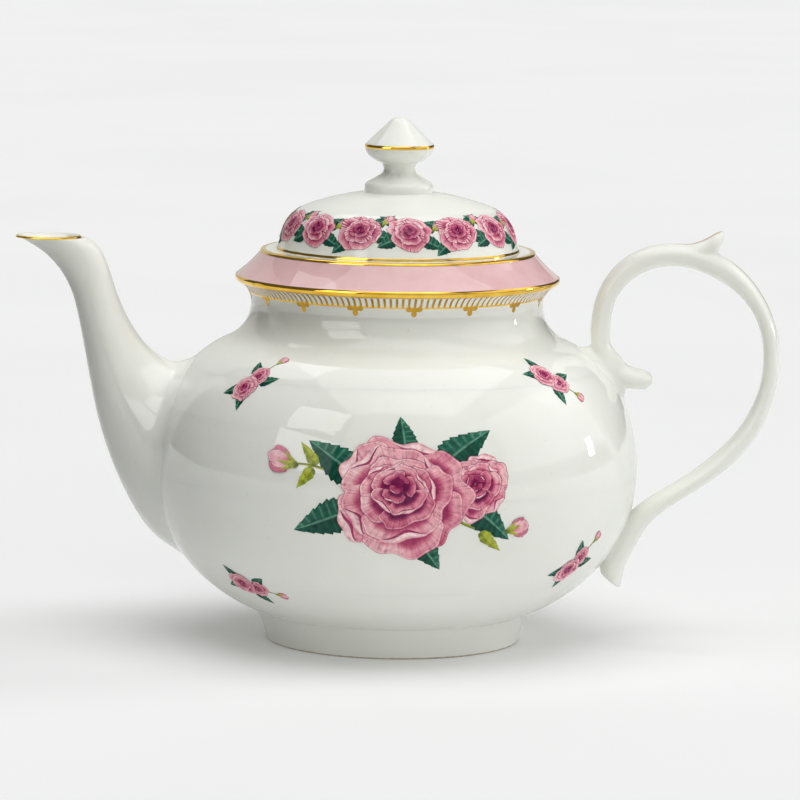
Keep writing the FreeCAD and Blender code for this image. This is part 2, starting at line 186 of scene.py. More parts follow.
def spline(knots, values, places):
    """A natural cubic spline through rows of values."""
    gaps = np.diff(knots)
    count = len(knots)
    system = np.eye(count)
    right = np.zeros_like(values)
    for index in range(1, count - 1):
        before, after = gaps[index - 1], gaps[index]
        system[index, index - 1:index + 2] = (before, 2 * (before + after), after)
        right[index] = 6 * ((values[index + 1] - values[index]) / after
                            - (values[index] - values[index - 1]) / before)
    bend = np.linalg.solve(system, right)
    spot = np.clip(np.searchsorted(knots, places) - 1, 0, count - 2)
    gap = gaps[spot][:, None]
    left = (knots[spot + 1] - places)[:, None]
    over = (places - knots[spot])[:, None]
    return ((bend[spot] * left ** 3 + bend[spot + 1] * over ** 3) / (6 * gap)
            + (values[spot] / gap - bend[spot] * gap / 6) * left
            + (values[spot + 1] / gap - bend[spot + 1] * gap / 6) * over)


def ovals(stations, rows, columns):
    """Rings of points through oval stations: across, up, tilt, depth and width."""
    stations = np.array(stations, float)
    steps = np.hypot(*np.diff(stations[:, :2], axis=0).T)
    knots = np.concatenate([[0.0], np.cumsum(steps)])
    places = knots[-1] * np.linspace(0, 1, rows)
    across, up, tilt, deep, wide = spline(knots, stations, places).T[:, :, None]
    turns = np.linspace(0, 2 * math.pi, columns, endpoint=False)[None, :]
    tilt = np.radians(tilt)
    reach = deep / 2 * np.cos(turns)
    return np.stack([across + reach * np.cos(tilt), wide / 2 * np.sin(turns) + 0 * reach,
                     up - reach * np.sin(tilt)], -1) * MM


def outward(vertices, faces):
    """Normals at the vertices of quads."""
    faces = np.array(faces)
    flat = np.cross(vertices[faces[:, 2]] - vertices[faces[:, 0]],
                    vertices[faces[:, 3]] - vertices[faces[:, 1]])
    total = np.zeros_like(vertices)
    for corner in range(4):
        np.add.at(total, faces[:, corner], flat)
    return total / np.maximum(np.linalg.norm(total, axis=1, keepdims=True), 1e-12)


def flow_into_pot(vertices, normals, radius):
    """Spread a piece where it meets the pot, as a round fillet tangent to both."""
    gap, pot_normal = POT.depth(vertices)
    side = normals - (normals * pot_normal).sum(1, keepdims=True) * pot_normal
    size = np.linalg.norm(side, axis=1, keepdims=True)
    side /= np.maximum(size, 1e-9)
    near = np.clip(1 - (gap + 0.08) / radius, 0, 1)
    spread = radius * (1 - np.sqrt(1 - near ** 2))
    return vertices + side * (spread * np.clip(size[:, 0] * 2, 0, 1))[:, None] * MM


# Materials

class Nodes:
    """A node tree whose nodes are made by short calls."""

    def __init__(self, tree):
        self.tree = tree

    def node(self, kind, settings=None, **inputs):
        made = self.tree.nodes.new("ShaderNode" + kind)
        for key, setting in (settings or {}).items():
            setattr(made, key, setting)
        for key, source in inputs.items():
            socket = made.inputs[int(key[1:])] if key[1:].isdigit() else made.inputs[key]
            self.feed(socket, source)
        return made

    def feed(self, socket, source):
        if isinstance(source, bpy.types.NodeSocket):
            self.tree.links.new(source, socket)
        else:
            socket.default_value = source

    def calc(self, operation, *sources):
        return self.node("Math", {"operation": operation},
                         **{f"i{index}": source for index, source in enumerate(sources)}).outputs[0]

    def noise(self, scale, detail, place=None):
        place = place or self.node("TexCoord").outputs["Object"]
        return self.node("TexNoise", Vector=place, Scale=scale, Detail=detail).outputs["Fac"]

    def spread(self, source, low, high):
        """A value that goes from 0 to 1 as the source goes from low to high."""
        return self.node("MapRange", Value=source, i1=low, i2=high).outputs[0]

    def scaled(self, share, low, high):
        """A value that goes from low to high as the share goes from 0 to 1."""
        return self.node("MapRange", Value=share, i3=low, i4=high).outputs[0]

    def ramp(self, source, *stops):
        made = self.node("ValToRGB", Fac=source)
        made.color_ramp.interpolation = "EASE"
        for index, (spot, colour) in enumerate(stops):
            element = (made.color_ramp.elements[index] if index < 2
                       else made.color_ramp.elements.new(spot))
            element.position = spot
            element.color = (*colour, 1.0)
        return made.outputs["Color"]

    def blend(self, share, first, second, way="MIX"):
        made = self.node("Mix", {"data_type": "RGBA", "blend_type": way})
        for socket, source in zip((made.inputs[0], made.inputs[6], made.inputs[7]),
                                  (share, first, second)):
            self.feed(socket, source)
        return made.outputs[2]

    def bump(self, height, strength, distance):
        made = self.node("Bump", Height=height, Strength=strength, Distance=distance)
        return made.outputs["Normal"]


class Shader(Nodes):
    """A material with one surface."""

    def __init__(self, name, **constants):
        self.material = bpy.data.materials.new(name)
        self.material.use_nodes = True
        super().__init__(self.material.node_tree)
        self.surface = self.tree.nodes["Principled BSDF"]
        for key, number in constants.items():
            self.surface.inputs[key.replace("_", " ")].default_value = number

    def set(self, **inputs):
        for key, source in inputs.items():
            self.feed(self.surface.inputs[key.replace("_", " ")], source)
        return self.material


CHINA_TONES = ((0.25, (0.855, 0.862, 0.805)), (0.75, (0.885, 0.89, 0.842)))
CLOUDS = 28.0
RIPPLES = 60.0
ENAMEL_LOW = 121.7
ENAMEL_HIGH = 130.3
ENAMEL_INNER = 45.2
BARE_FOOT = 0.75
GLAZE = {"Coat_Weight": 1.0, "Coat_Roughness": 0.012, "Coat_IOR": 1.54, "Specular_IOR_Level": 0.0}
PAINT_GLAZE = {**GLAZE, "Coat_Weight": 0.3}


def china_material():
    """White bone china: faint cloudy tone in the body, and a glaze that lies not quite flat."""
    shader = Shader("china", Subsurface_Weight=0.12, Subsurface_Scale=0.004, **GLAZE)
    shader.surface.inputs["Subsurface Radius"].default_value = (1.0, 0.9, 0.7)
    cloud = shader.noise(CLOUDS, 3.0)
    tone = shader.ramp(cloud, *CHINA_TONES)
    speck = shader.spread(shader.noise(900.0, 1.0), 0.74, 0.80)
    tone = shader.blend(speck, tone, (0.78, 0.765, 0.72, 1.0))
    ripple = shader.bump(shader.noise(RIPPLES, 2.0), 0.05, 0.0006)
    return shader.set(Base_Color=tone, Roughness=shader.scaled(cloud, 0.30, 0.42),
                      Coat_Normal=ripple)


def gilt_material(name, thin, thick, polish):
    """Gold with fine brush grain, and patches that are paler and duller."""
    shader = Shader(name, Metallic=1.0)
    grain = shader.noise(2600.0, 3.0)
    patch = shader.noise(160.0, 3.0)
    tone = shader.ramp(patch, (0.30, thin), (0.70, thick))
    dull = shader.scaled(patch, polish, polish + 0.05)
    rough = shader.calc("ADD", dull, shader.calc("MULTIPLY", grain, 0.04))
    return shader.set(Base_Color=tone, Roughness=rough, Normal=shader.bump(grain, 0.06, 0.00005))


def paint_material():
    """On-glaze colour: the painted tone with watery pools and fine strokes along each petal."""
    shader = Shader("flower_paint", **PAINT_GLAZE)
    painted = shader.node("VertexColor", {"layer_name": "paint"}).outputs["Color"]
    strokes = shader.node("UVMap", {"uv_map": "strokes"}).outputs["UV"]
    stroke = shader.noise(1.0, 6.0, strokes)
    pool = shader.noise(750.0, 5.0)
    light = shader.calc("MULTIPLY_ADD", stroke, 1.3, shader.calc("MULTIPLY_ADD", pool, 1.1, -0.6))
    shade = shader.ramp(light, (0.22, (0.66, 0.46, 0.58)), (0.58, (1.0, 1.0, 1.0)),
                        (0.95, (1.22, 1.36, 1.32)))
    tone = shader.blend(1.0, painted, shade, "MULTIPLY")
    return shader.set(Base_Color=tone, Roughness=shader.scaled(pool, 0.28, 0.46))


def collar_material():
    """The collar's china with pink enamel, a little cloudy, on its sloped face."""
    shader = Shader("collar_enamel", **GLAZE)
    place = shader.node("TexCoord").outputs["Object"]
    split = shader.node("SeparateXYZ", Vector=place)
    squares = [shader.calc("POWER", split.outputs[axis], 2.0) for axis in "XY"]
    around = shader.calc("SQRT", shader.calc("ADD", *squares))
    height = split.outputs["Z"]
    white = shader.ramp(shader.noise(CLOUDS, 3.0), *CHINA_TONES)
    wash = shader.noise(170.0, 5.0)
    pink = shader.ramp(wash, (0.25, (0.745, 0.455, 0.47)), (0.55, (0.785, 0.50, 0.512)),
                       (0.85, (0.825, 0.555, 0.565)))
    above = shader.calc("GREATER_THAN", height, ENAMEL_LOW * MM)
    below = shader.calc("LESS_THAN", height, ENAMEL_HIGH * MM)
    outside = shader.calc("GREATER_THAN", around, ENAMEL_INNER * MM)
    mask = shader.calc("MULTIPLY", shader.calc("MULTIPLY", above, below), outside)
    tone = shader.blend(mask, white, pink)
    ripple = shader.bump(shader.noise(RIPPLES, 2.0), 0.05, 0.0006)
    return shader.set(Base_Color=tone, Roughness=shader.scaled(wash, 0.28, 0.42),
                      Coat_Normal=ripple)


def foot_material():
    """The foot ring: glazed china, with the ground ring that it stands on left bare."""
    shader = Shader("foot_china", **GLAZE)
    place = shader.node("TexCoord").outputs["Object"]
    height = shader.node("SeparateXYZ", Vector=place).outputs["Z"]
    white = shader.ramp(shader.noise(CLOUDS, 3.0), *CHINA_TONES)
    grit = shader.noise(1500.0, 4.0)
    edge = shader.calc("ADD", height, shader.calc("MULTIPLY", shader.noise(240.0, 3.0), 0.0005))
    bare = shader.calc("LESS_THAN", edge, BARE_FOOT * MM)
    clay = shader.ramp(grit, (0.3, (0.42, 0.34, 0.24)), (0.7, (0.60, 0.52, 0.40)))
    tone = shader.blend(bare, white, clay)
    rough = shader.calc("ADD", 0.32, shader.calc("MULTIPLY", bare, 0.45))
    return shader.set(Base_Color=tone, Roughness=rough)


china = china_material()
gilt = gilt_material("gilt", (0.80, 0.47, 0.055), (0.93, 0.60, 0.10), 0.04)
# Matt gold for the ladder and pendants. Its matte finish is the gold's own, but its base colour, darkened
# to about six tenths of the gilt's, is painted shade under the collar's overhang.
shaded_matt_gilt = gilt_material("shaded_matt_gilt", (0.48, 0.27, 0.035), (0.62, 0.38, 0.06), 0.22)
paint = paint_material()


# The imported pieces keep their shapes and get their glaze

def dress(node, material):
    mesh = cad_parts[node].data
    mesh.materials.clear()
    mesh.materials.append(material)


for node in ("pot_base", "pot_lower_side", "pot_upper_side", "pot_shoulder", "spout",
             "spout_strainer", "handle", "lid_dome", "lid_flange", "lid_knob"):
    dress(node, china)
dress("collar", collar_material())
dress("foot_ring", foot_material())


# Spout: the solid's stations again, with a rounded lip and a fillet at its root

def on_belly(out, up):
    """A radius and a height, given from the belly's widest part."""
    return BELLY_RADIUS + out, BELLY_HEIGHT + up


SPOUT = [
    (-23.0, 2.5, -90.0, 60.0, 8.0),
    (-10.1, 3.2, -88.0, 63.6, 10.0),
    (-3.5, 6.2, -82.6, 57.4, 12.0),
    (2.6, 12.3, -78.8, 49.4, 13.2),
    (13.2, 32.5, -70.3, 32.4, 8.0),
    (19.6, 55.9, -55.7, 18.6, 2.6),
    (22.9, 65.7, -36.9, 15.0, 1.6),
    (27.8, 72.1, -15.0, 16.4, 1.6),
    (35.3, 76.6, 0.0, 22.0, 3.2),
]
SPOUT_WALL = 2.6
LIP_WALL = 1.5
SPOUT_ROWS = 260
SPOUT_COLUMNS = 96
SPOUT_FILLET = 3.0
LIP_ROWS = 10
LIP_UP = BELLY_HEIGHT + SPOUT[-1][1]
GOLD_ROWS = 3                   # of the spout's rows below its lip
BURIED = 1.4                    # deeper under the pot's skin nothing is kept


def spout_stations(wall, lip_wall):
    stations = []
    for index, (out, up, tilt, deep, narrow) in enumerate(SPOUT):
        radius, height = on_belly(out, up)
        inset = 2 * (lip_wall if index == len(SPOUT) - 1 else wall)
        stations.append((-radius, height, tilt, deep - inset, deep - narrow - inset))
    return stations


def lip_rings(outer, inner):
    """The lip rolls from its outer edge over to its inner edge."""
    rings = []
    drop = LIP_WALL / 2 * MM
    for step in range(1, LIP_ROWS):
        turn = math.pi * step / LIP_ROWS
        share = (1 - math.cos(turn)) / 2
        ring_points = outer * (1 - share) + inner * share
        ring_points[:, 2] += drop * math.sin(turn)
        rings.append(ring_points)
    return np.array(rings)


def above_pot(vertices, faces):
    """What isn't buried in the pot, and the old numbers of its vertices."""
    gap = POT.depth(vertices)[0]
    faces = [face for face in faces if max(gap[corner] for corner in face) > -BURIED]
    used = sorted({corner for face in faces for corner in face})
    new = {old: index for index, old in enumerate(used)}
    return vertices[used], [[new[corner] for corner in face] for face in faces], used


def make_spout():
    """The spout inside and out, with its gilt lip."""
    outside = ovals(spout_stations(0, 0), SPOUT_ROWS, SPOUT_COLUMNS)
    inside = ovals(spout_stations(SPOUT_WALL, LIP_WALL), SPOUT_ROWS // 2, SPOUT_COLUMNS)[::-1]
    for rings in (outside, inside):
        rings[..., 2] = np.minimum(rings[..., 2], (LIP_UP - LIP_WALL / 2) * MM)
    flat = outside.reshape(-1, 3)
    normals = outward(flat, grid_faces(SPOUT_ROWS, SPOUT_COLUMNS, closed=True))
    middle = np.repeat(outside.mean(axis=1), SPOUT_COLUMNS, axis=0)
    normals *= np.sign(((flat - middle) * normals).sum(1, keepdims=True))
    outside = flow_into_pot(flat, normals, SPOUT_FILLET).reshape(outside.shape)
    points = np.concatenate([outside, lip_rings(outside[-1], inside[0]), inside])
    faces = grid_faces(len(points), SPOUT_COLUMNS, closed=True)
    vertices, faces, used = above_pot(points.reshape(-1, 3), faces)
    piece = mesh_object("spout_glazed", vertices, faces, "pot", china, gilt)
    first_gold = SPOUT_ROWS - GOLD_ROWS
    last_gold = SPOUT_ROWS + LIP_ROWS // 2
    for polygon in piece.data.polygons:
        row = used[polygon.vertices[0]] // SPOUT_COLUMNS
        polygon.material_index = int(first_gold <= row < last_gold)
    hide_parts("spout")


make_spout()


# Handle: loop, spur and upper root grown into one soft form

HANDLE_WIDTH = 11.0
LIMB_THICK = 6.7
TOP_THICK = 7.6
SIDE_THICK = 5.6
LOW_THICK = 6.6
LOOP_BENDS = [
    # centre out and up from the belly's widest part, radius, and thickness by angle
    (1.3, 45.5, 14.4, {270: LIMB_THICK, 236: LIMB_THICK, 205: LIMB_THICK}),
    (10.0, 50.0, 23.1, {180: LIMB_THICK, 150: LIMB_THICK, 120: TOP_THICK, 90: TOP_THICK}),
    (10.0, 38.9, 34.2, {60: TOP_THICK, 30: SIDE_THICK, 0: SIDE_THICK}),
    (-1.8, 38.9, 46.0, {-18: SIDE_THICK, -36: LOW_THICK, -52: LOW_THICK}),
]
SCROLL_TIP = [(4.5, 31.1, -270.0, 2.4, 6.0), (2.9, 31.1, -270.0, 5.6, 9.6)]
TAIL = [
    (10.8, -8.3, 54.0, 6.2, 11.0),
    (2.2, -14.8, 43.0, 7.2, 11.4),
    (-3.7, -23.6, 30.0, 8.0, 12.0),
    (-7.4, -31.2, 24.0, 8.6, 12.6),
    (-8.2, -37.0, 37.0, 8.6, 12.6),
]
SPUR = [
    (10.8, 72.9, -90.0, 7.0, 9.4),
    (16.8, 73.7, -90.0, 6.6, 9.2),
    (21.8, 75.3, -90.0, 7.2, 8.8),
    (25.3, 77.6, -90.0, 6.6, 7.8),
    (27.3, 80.0, -90.0, 2.4, 3.4),
]
ROOT_MIDDLE = (-12.7, 33.0)
ROOT_FACE = math.radians(41.0)
ROOT = [(-8.0, 22.0, 14.0), (3.0, 19.0, 12.6), (8.5, 10.0, 8.6)]
HANDLE_VOXEL = 0.45
HANDLE_SOFTENING = 14
HANDLE_FILLET = 2.0
LOOP_ROWS = 400
BRANCH_ROWS = 60
TUBE_COLUMNS = 48


def handle_lofts():
    """Rings of points of the loop with its scroll and tail, of the spur and of the upper root."""
    loop = list(SCROLL_TIP)
    for out, up, radius, stations in LOOP_BENDS:
        for angle, thick in stations.items():
            turn = math.radians(angle)
            loop.append((out + radius * math.cos(turn), up + radius * math.sin(turn), -angle, thick,
                         HANDLE_WIDTH))
    loop += TAIL
    root = [(ROOT_MIDDLE[0] + out * math.cos(ROOT_FACE), ROOT_MIDDLE[1] + out * math.sin(ROOT_FACE),
             90 - math.degrees(ROOT_FACE), deep, wide) for out, deep, wide in ROOT]
    return [ovals([(*on_belly(out, up), *looks) for out, up, *looks in stations], rows, TUBE_COLUMNS)
            for stations, rows in ((loop, LOOP_ROWS), (SPUR, BRANCH_ROWS), (root, BRANCH_ROWS))]


def capped(rings):
    """A closed tube: rings of points with a point at each end."""
    rows, columns = rings.shape[:2]
    vertices = np.concatenate([rings.reshape(-1, 3), [rings[0].mean(0), rings[-1].mean(0)]])
    faces = grid_faces(rows, columns, closed=True)
    last = (rows - 1) * columns
    for column in range(columns):
        after = (column + 1) % columns
        faces.append((rows * columns, after, column))
        faces.append((rows * columns + 1, last + column, last + after))
    return vertices, faces


def grown_together(tubes, voxel):
    """One skin round several tubes, as vertices and quads."""
    vertices = []
    faces = []
    for tube in tubes:
        points, sides = capped(tube)
        faces += [[corner + len(vertices) for corner in side] for side in sides]
        vertices += points.tolist()
    mesh = bpy.data.meshes.new("blank")
    mesh.from_pydata(vertices, [], faces)
    blank = linked("blank", mesh)
    skin = blank.modifiers.new("skin", "REMESH")
    skin.mode = "VOXEL"
    skin.voxel_size = voxel * MM
    soften = blank.modifiers.new("soften", "SMOOTH")
    soften.factor = 0.5
    soften.iterations = HANDLE_SOFTENING
    made = bpy.data.meshes.new_from_object(
        blank.evaluated_get(bpy.context.evaluated_depsgraph_get()))
    points = np.array([vertex.co for vertex in made.vertices])
    normals = np.array([vertex.normal for vertex in made.vertices])
    quads = [list(polygon.vertices) for polygon in made.polygons]
    bpy.data.objects.remove(blank)
    return points, normals, quads


def make_handle():
    points, normals, quads = grown_together(handle_lofts(), HANDLE_VOXEL)
    points, quads = above_pot(flow_into_pot(points, normals, HANDLE_FILLET), quads)[:2]
    piece = mesh_object("handle_glazed", points, quads, "pot", china)
    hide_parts("handle")
    return piece


handle = make_handle()
STROKE_ROWS = 90
STROKE_COLUMNS = 7


def stroke_on(piece, name, route, widths):
    """A gilt brush stroke laid on a piece: points in X and Z on its outer ridge."""
    tree = BVHTree.FromPolygons([vertex.co for vertex in piece.data.vertices],
                                [polygon.vertices for polygon in piece.data.polygons])
    knots = np.linspace(0, 1, len(route))
    places = np.linspace(0, 1, STROKE_ROWS)
    line = spline(knots, np.array(route, float), places)
    wide = np.interp(places, np.linspace(0, 1, len(widths)), widths)
    rows = []
    for (across, up), width in zip(line, wide):
        row = []
        for side in np.linspace(-1, 1, STROKE_COLUMNS):
            spot = Vector((across * MM, side * width / 2 * MM, up * MM))
            hit, normal = tree.find_nearest(spot)[:2]
            row.append(hit + normal * (0.02 + 0.05 * (1 - side ** 2)) * MM)
        rows.append(row)
    points = np.array([[list(spot) for spot in row] for row in rows])
    mesh_object(name, points.reshape(-1, 3), grid_faces(*points.shape[:2]), "pot", gilt)


stroke_on(handle, "handle_spur_gilt", [(92.5, 135.0), (97.5, 135.2), (102.5, 137.0),
                                       (106.0, 139.4), (109.2, 141.5)], [0.3, 1.7, 2.2, 2.4, 0.8])
stroke_on(handle, "handle_back_gilt", [(110.0, 127.0), (118.0, 120.0), (124.5, 112.0),
                                       (128.0, 101.0)], [0.2, 1.0, 1.1, 0.2])


# Gilt lines

LINE_LIFT = 0.05
LINE_WAVER = 0.04
LINE_ROWS = 8


def gilt_ring(name, body, profile, start, end, columns=256):
    """A gilt line all round an outline, laid on with a brush: its edges waver a little."""
    turns = np.linspace(0, 2 * math.pi, columns, endpoint=False)
    waves = [sum(LINE_WAVER / 3 * np.sin(count * turns + chance.uniform(0, 6.28))
                 for count in (5, 13, 31)) for edge in range(2)]
    share = np.linspace(0, 1, LINE_ROWS)[:, None]
    lengths = (start + waves[0]) * (1 - share) + (end + waves[1]) * share
    raised = LINE_LIFT * np.sin(math.pi * share) ** 0.4 + 0.005
    points = profile.place(turns[None, :], lengths, raised)
    mesh_object(name, points.reshape(-1, 3), grid_faces(*points.shape[:2], closed=True), body, gilt)


RIM = POT.length_at(45.0, 131.0)
SLOPE_TOP = POT.length_at(46.0, 130.0)
EDGE_LOW = POT.length_at(53.4, 120.4)
EDGE_HIGH = POT.length_at(53.4, 122.9)
gilt_ring("collar_rim_gilt", "pot", POT, SLOPE_TOP + 0.15, RIM + 0.9)
gilt_ring("collar_edge_gilt", "pot", POT, EDGE_LOW - 0.3, EDGE_HIGH - 0.5)
gilt_ring("lid_base_gilt", "lid", LID, 0.15, 1.0)
KNOB_BAND = Profile(11.4, 164.6).arc((11.1, 166.5), (9.62, 165.31)).done()
gilt_ring("knob_gilt", "lid", KNOB_BAND, 0.45, 1.65, columns=128)

LADDER_BARS = 160
LADDER_RADIUS = 51.0
BAR_HALF = 0.38
BAR_ROWS = 9
BAR_COLUMNS = 5
LINE_HALF = 0.35
PENDANTS = 16
PENDANT_START = 0.29            # of the way from one to the next
DOT_RINGS = 6
DOT_SPOKES = 20
LADDER_TOP = EDGE_LOW - 0.4
LADDER_FOOT = LADDER_TOP - 4.9
gilt_ring("ladder_line_gilt", "pot", POT, LADDER_FOOT - LINE_HALF, LADDER_FOOT + LINE_HALF)


def make_ladder():
    """Upright bars all round under the collar's edge."""
    vertices = []
    faces = []
    for bar in range(LADDER_BARS):
        turn = 2 * math.pi * bar / LADDER_BARS
        half = (BAR_HALF + chance.uniform(-0.04, 0.04)) / LADDER_RADIUS
        lengths = np.linspace(LADDER_FOOT, LADDER_TOP, BAR_ROWS)[:, None]
        sides = np.linspace(-1, 1, BAR_COLUMNS)
        points = POT.place(turn + half * sides[None, :], lengths, 0.06 - 0.03 * sides[None, :] ** 2)
        faces += grid_faces(BAR_ROWS, BAR_COLUMNS, first=len(vertices))
        vertices += points.reshape(-1, 3).tolist()
    # The bars' darker gold is painted shade under the collar's overhang.
    mesh_object("ladder_gilt", vertices, faces, "pot", shaded_matt_gilt)


def make_pendants():
    """A trefoil of four dots, one of them in its middle, below every tenth bar."""
    vertices = []
    faces = []
    neck = float(POT.at(LADDER_FOOT, POT.points)[0])
    # Across, up and radius of each dot
    dots = [(-1.75, -0.45, 1.0), (1.75, -0.45, 1.0), (0.0, -0.75, 1.15), (0.0, -2.2, 0.95)]
    for pendant in range(PENDANTS):
        middle = 2 * math.pi * (pendant + PENDANT_START) / PENDANTS
        for across, up, radius in dots:
            spokes = np.linspace(0, 2 * math.pi, DOT_SPOKES, endpoint=False)[None, :]
            share = np.linspace(0.02, 1, DOT_RINGS)[:, None]
            points = POT.place(middle + (across + radius * share * np.cos(spokes)) / neck,
                               LADDER_FOOT + up + radius * share * np.sin(spokes),
                               0.02 + 0.14 * np.sqrt(1 - share ** 2) + 0 * spokes)
            faces += facing_out(points, grid_faces(DOT_RINGS, DOT_SPOKES, closed=True,
                                                   first=len(vertices)))
            vertices += points.reshape(-1, 3).tolist()
    # The dots' darker gold is painted shade under the collar's overhang.
    mesh_object("pendants_gilt", vertices, faces, "pot", shaded_matt_gilt)


make_ladder()
make_pendants()


# Painted flowers

def linear(red, green, blue):
    """A screen colour, 0 to 255, as light."""
    return np.array([((part / 255 + 0.055) / 1.055) ** 2.4 for part in (red, green, blue)])


BLUSH = linear(246, 210, 212)
PINK = linear(230, 156, 170)
ROSE = linear(203, 98, 128)
MAGENTA = linear(154, 46, 92)
WINE = linear(98, 26, 70)
TEAL = linear(28, 92, 74)
DEEP_TEAL = linear(10, 48, 40)
SAGE = linear(116, 172, 148)
LIME = linear(176, 184, 66)
OLIVE = linear(92, 106, 36)
OUTER = (MAGENTA, ROSE, PINK, BLUSH)
INNER = (WINE, *OUTER)
SOFT_EDGE = (MAGENTA, ROSE)
EDGE = (WINE, MAGENTA)
HEART_EDGE = (WINE, WINE)
LEAF = (DEEP_TEAL, TEAL, SAGE)
FRESH = (OLIVE, LIME, LIME)


def smooth(low, high, value):
    share = np.clip((value - low) / (high - low), 0, 1)
    return share * share * (3 - 2 * share)


def toned(share, *colours):
    """Colours one after another as the share goes from 0 to 1."""
    share = np.clip(share, 0, 1)
    stops = np.linspace(0, 1, len(colours))
    table = np.array(colours)
    return np.stack([np.interp(share, stops, table[:, part]) for part in range(3)], -1)


def turned(x, y, angle, across, up):
    """Flat points turned by an angle and moved to a place."""
    cos, sin = math.cos(angle), math.sin(angle)
    return x + across * cos - up * sin, y + across * sin + up * cos


def stroke_map(across, along):
    """Where each point of a patch lies in the pattern of fine strokes."""
    return np.stack(np.broadcast_arrays(across, along), -1)


FACET = 0.9                     # largest facet of a painted patch
LAYER = 0.003                   # from one painted layer to the next
LOWEST = 0.02                   # from the glaze to the first layer
FLOWER_SQUASH = 0.88


class Painting:
    """Flat patches of colour in a plane, later wrapped on an outline. Later ones lie on top."""

    def __init__(self):
        self.patches = []

    def patch(self, across, up, colour, strokes):
        self.patches.append([across, up, colour, strokes])

    def moved(self, across, up, size, turn, mirror=1):
        """A copy that is scaled, mirrored, turned and moved."""
        copy = Painting()
        for flat_x, flat_y, colour, strokes in self.patches:
            spots = turned(across, up, turn, flat_x * mirror * size, flat_y * size)
            copy.patch(*spots, colour, strokes)
        return copy

    def add(self, other):
        self.patches += other.patches

    def wrap(self, name, body, profile, spots):
        """Lay copies on an outline, each at a turn and a length along it, as one piece."""
        vertices, faces, colours, strokes = [], [], [], []
        first = 0
        for turn, length in spots:
            for level, (across, up, colour, stroke) in enumerate(self.patches):
                along = length + up
                radius = profile.at(along, profile.points)[..., 0]
                lift = LOWEST + LAYER * level
                points = profile.place(turn + across / radius, along, lift)
                rows, columns = across.shape
                faces += facing_out(points, grid_faces(rows, columns, first=first))
                first += rows * columns
                vertices.append(points.reshape(-1, 3))
                colours.append(colour.reshape(-1, 3))
                strokes.append(stroke.reshape(-1, 2))
        piece = mesh_object(name, np.concatenate(vertices), faces, body, paint)
        tones = np.concatenate(colours)
        layer = piece.data.color_attributes.new("paint", "FLOAT_COLOR", "POINT")
        layer.data.foreach_set(
            "color", np.concatenate([tones, np.ones((len(tones), 1))], axis=1).ravel())
        spread = piece.data.uv_layers.new(name="strokes")
        corners = np.zeros(len(piece.data.loops), dtype=np.int32)
        piece.data.loops.foreach_get("vertex_index", corners)
        spread.data.foreach_set("uv", np.concatenate(strokes)[corners].ravel())


def petal_edge(length, width, ruffle, columns):
    """The outline of a rounded petal from one side of its base to the other."""
    bends = np.linspace(-1.95, 1.95, columns)
    lean = chance.uniform(-0.14, 0.14)
    notch = chance.uniform(0.0, 0.13)
    split = chance.uniform(-0.5, 0.5)
    waves = 1 + ruffle * sum(np.sin(bends * count + chance.uniform(0, 6.28))
                             for count in (2.3, 4.7, 8.1))
    edge_x = length * (0.50 + 0.50 * np.cos(bends) * waves
                       - notch * np.exp(-((bends - split) / 0.30) ** 2))
    rounded = np.sin(bends) * (0.78 + 0.22 * np.cos(bends * 0.5))
    edge_y = width * (rounded + lean * edge_x / length) * waves
    return bends, edge_x, edge_y


def facets(length):
    """How many points a patch needs so that its facets follow the round china."""
    return max(5, math.ceil(length / FACET) + 1)


def petal(painting, x, y, angle, length, width, colours, ruffle, light=0.0, hidden=0.2):
    """A petal that is dark where others cover it, with soft creases and a pale ruffled rim."""
    bends, edge_x, edge_y = petal_edge(length, width, ruffle, facets(3.2 * width))
    share = np.linspace(0, 1, facets(length))[:, None] ** 0.85
    shown = np.clip((share - hidden) / (1 - hidden), 0, 1)
    side = np.cos(angle + bends[None, :] * 0.7 - 2.2)
    fold = np.sin(bends[None, :] * chance.uniform(2.0, 3.6) + chance.uniform(0, 6.28))
    crease = np.exp(-((bends[None, :] - chance.uniform(-0.9, 0.9)) / 0.13) ** 2)
    tone = (0.04 + 0.74 * smooth(0.0, 0.62, shown) - 0.14 * smooth(0.55, 0.9, shown)
            + 0.34 * smooth(0.90, 1.0, shown) + 0.08 * side * share + 0.12 * fold * shown
            - 0.20 * crease * smooth(0.1, 0.7, shown) + light)
    seed = chance.uniform(0, 50)
    painting.patch(*turned(x, y, angle, edge_x * share, edge_y * share), toned(tone, *colours),
                   stroke_map(bends * 12.0 + seed, share * 1.5 + seed))


def turned_lip(painting, x, y, angle, length, width, ruffle):
    """The rim of a petal folded over towards its heart, with the shadow that it throws."""
    bends, edge_x, edge_y = petal_edge(length, width, ruffle, facets(3.2 * width))
    start = chance.uniform(-1.3, -0.3)
    end = start + chance.uniform(1.0, 1.6)
    arch = np.sin(math.pi * np.clip((bends - start) / (end - start), 0, 1))
    inside = (bends > start) & (bends < end)
    depth = chance.uniform(0.10, 0.17) * arch
    rows = np.linspace(0, 1, facets(length * 0.2))[:, None]
    for reach, colours in ((1.45, SOFT_EDGE), (1.0, (BLUSH, BLUSH, PINK))):
        share = 1.01 - depth[None, inside] * reach * (1 - rows)
        seed = chance.uniform(0, 50)
        painting.patch(*turned(x, y, angle, edge_x[inside] * share, edge_y[inside] * share),
                       toned(rows + 0 * share, *colours),
                       stroke_map(bends[inside] * 3 + seed, rows + seed))


def petal_with_shade(painting, x, y, angle, length, width, colours, line, dark=EDGE,
                     lip=False, **looks):
    """A petal over a thin dark edge, so that it stands out from those below."""
    state = chance.getstate()
    petal(painting, x, y, angle, length + line, width + line * 0.8, dark, **looks)
    chance.setstate(state)
    petal(painting, x, y, angle, length, width, colours, **looks)
    if lip:
        after = chance.getstate()
        chance.setstate(state)
        turned_lip(painting, x, y, angle, length, width, looks["ruffle"])
        chance.setstate(after)


